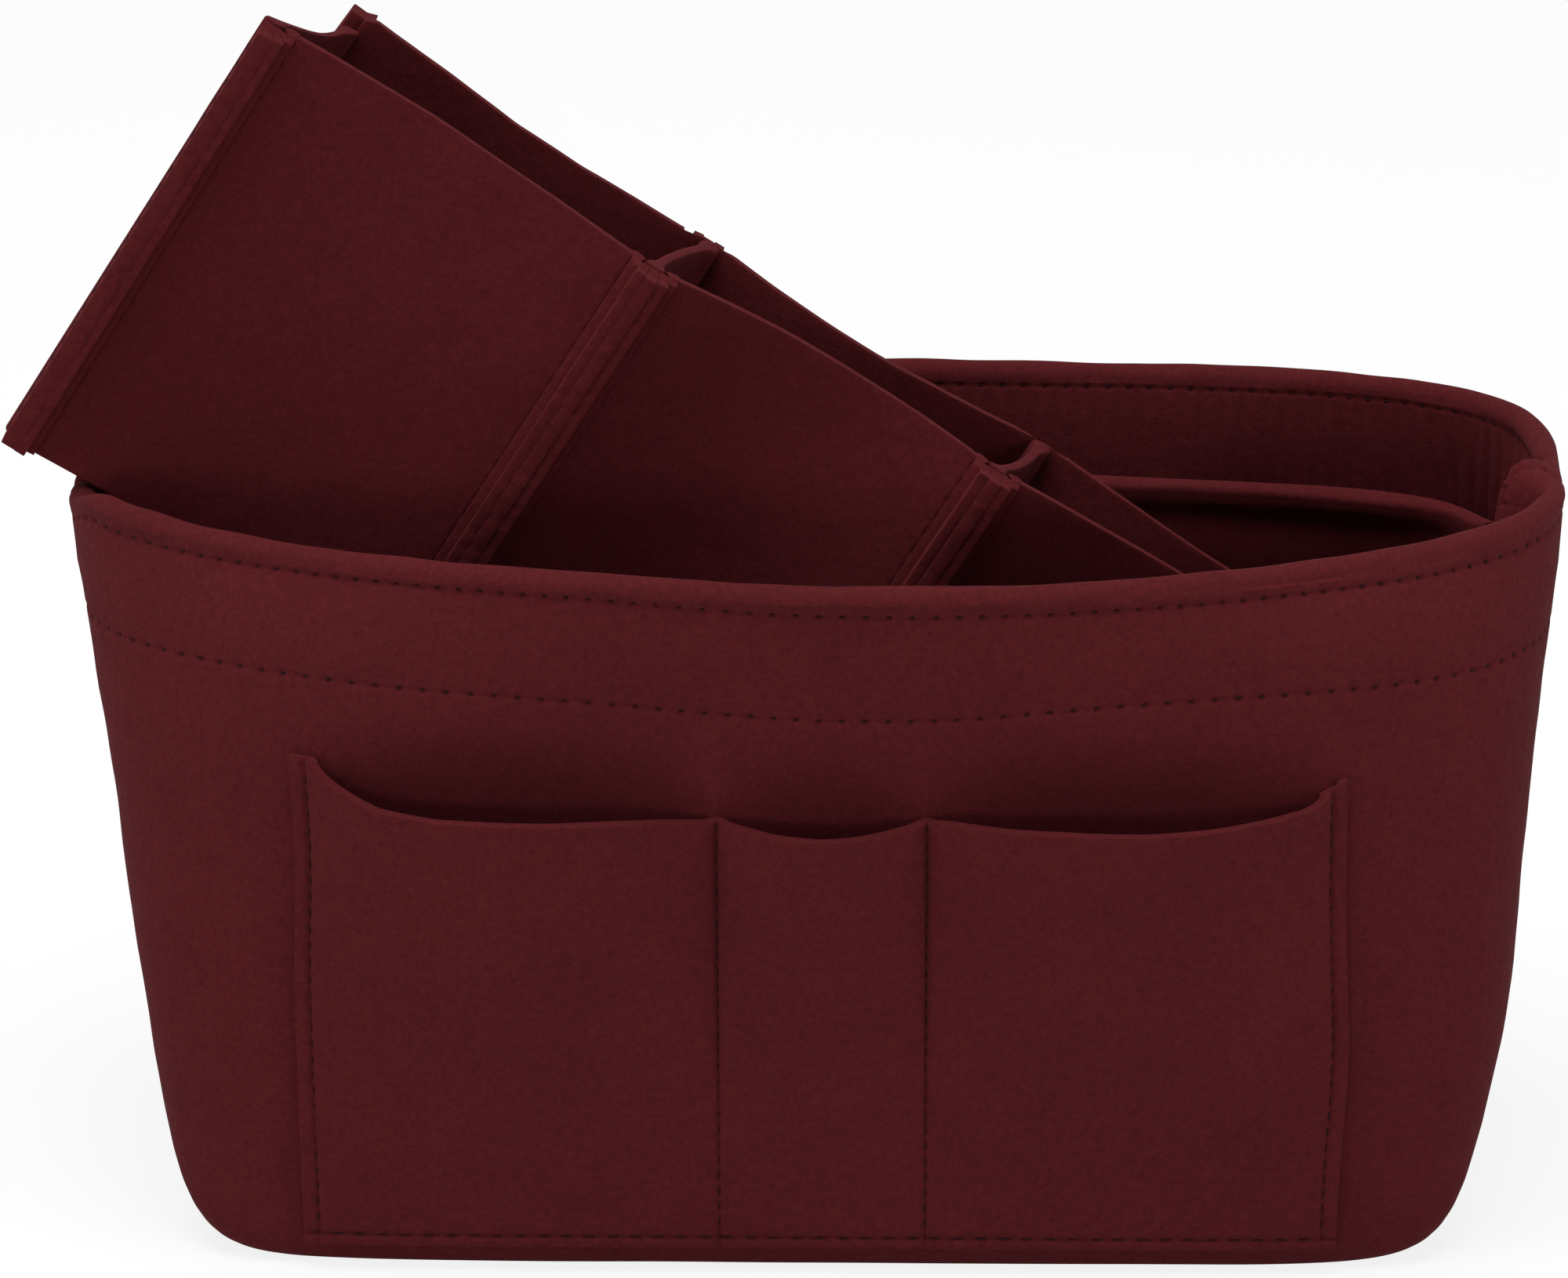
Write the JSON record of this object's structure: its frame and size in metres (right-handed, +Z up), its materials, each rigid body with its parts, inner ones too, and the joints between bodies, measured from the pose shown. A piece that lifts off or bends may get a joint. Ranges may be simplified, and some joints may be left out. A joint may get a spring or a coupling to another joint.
{
  "type": "purse organizer insert",
  "caption": "Felt organizer insert for a handbag: oval open body with a hemmed rim, stitched front pockets, a pocket inside its back wall and a loose folding divider tray",
  "frame": {"origin": "middle of the base, on the surface that the insert stands on", "axes": "+Z up, +X to the right as seen from the front, front with the three pockets facing -Y"},
  "size_m": [0.3135, 0.1564, 0.2426],
  "materials": {
    "body_felt": "matte felt",
    "tray_felt": "matte felt",
    "thread": "matte thread"
  },
  "bodies": {
    "body": {"shell_front": "body_felt", "shell_back": "body_felt", "base_panel": "body_felt", "front_pocket_panel": "body_felt", "inner_back_pocket": "body_felt", "rim_thread_upper_front": "thread", "rim_thread_upper_back": "thread", "rim_thread_lower_front": "thread", "rim_thread_lower_back": "thread", "pocket_thread_side_left": "thread", "pocket_thread_seam_left": "thread", "pocket_thread_seam_right": "thread", "pocket_thread_side_right": "thread", "pocket_foot_thread": "thread", "inner_pocket_thread_left": "thread", "inner_pocket_thread_right": "thread"},
    "tray_back": {"tray_back_panel_left": "tray_felt", "tray_back_panel_middle": "tray_felt", "tray_back_panel_right": "tray_felt", "left_end_wall_back_tab": "tray_felt", "left_cross_wall_back_tab": "tray_felt", "right_cross_wall_back_tab": "tray_felt", "right_end_wall_back_tab": "tray_felt"},
    "left_end_wall": {"left_end_wall": "tray_felt"},
    "left_cross_wall": {"left_cross_wall": "tray_felt"},
    "right_cross_wall": {"right_cross_wall": "tray_felt"},
    "right_end_wall": {"right_end_wall": "tray_felt"},
    "tray_front": {"tray_front_panel_left": "tray_felt", "tray_front_panel_middle": "tray_felt", "tray_front_panel_right": "tray_felt", "left_end_wall_front_tab": "tray_felt", "left_cross_wall_front_tab": "tray_felt", "right_cross_wall_front_tab": "tray_felt", "right_end_wall_front_tab": "tray_felt"}
  },
  "joints": [
    {"name": "tray_lift", "type": "slide", "parent": "body", "child": "tray_back", "axis": [0, 0, 1], "range_m": [0, 0.165]},
    {"name": "tray_fold", "type": "hinge", "parent": "tray_back", "child": "left_end_wall", "pos_m": [-0.12854, 0.03, 0.19338], "axis": [-0.5359, 0, -0.8443], "range_deg": [-12, 45]},
    {"name": "left_cross_wall_fold", "type": "hinge", "parent": "tray_back", "child": "left_cross_wall", "pos_m": [-0.05256, 0.03, 0.14515], "axis": [-0.5359, 0, -0.8443], "range_deg": [-12, 45]},
    {"name": "right_cross_wall_fold", "type": "hinge", "parent": "tray_back", "child": "right_cross_wall", "pos_m": [0.01499, 0.03, 0.10228], "axis": [-0.5359, 0, -0.8443], "range_deg": [-12, 45]},
    {"name": "right_end_wall_fold", "type": "hinge", "parent": "tray_back", "child": "right_end_wall", "pos_m": [0.10313, 0.03, 0.04634], "axis": [-0.5359, 0, -0.8443], "range_deg": [-12, 45]},
    {"name": "tray_front_fold", "type": "hinge", "parent": "left_end_wall", "child": "tray_front", "pos_m": [-0.13763, -0.0054, 0.19915], "axis": [-0.5359, 0, -0.8443], "range_deg": [-45, 12]}
  ],
  "couplings": [
    {"joint": "left_cross_wall_fold", "follows": "tray_fold", "ratio": 1},
    {"joint": "right_cross_wall_fold", "follows": "tray_fold", "ratio": 1},
    {"joint": "right_end_wall_fold", "follows": "tray_fold", "ratio": 1},
    {"joint": "tray_front_fold", "follows": "tray_fold", "ratio": -1}
  ]
}
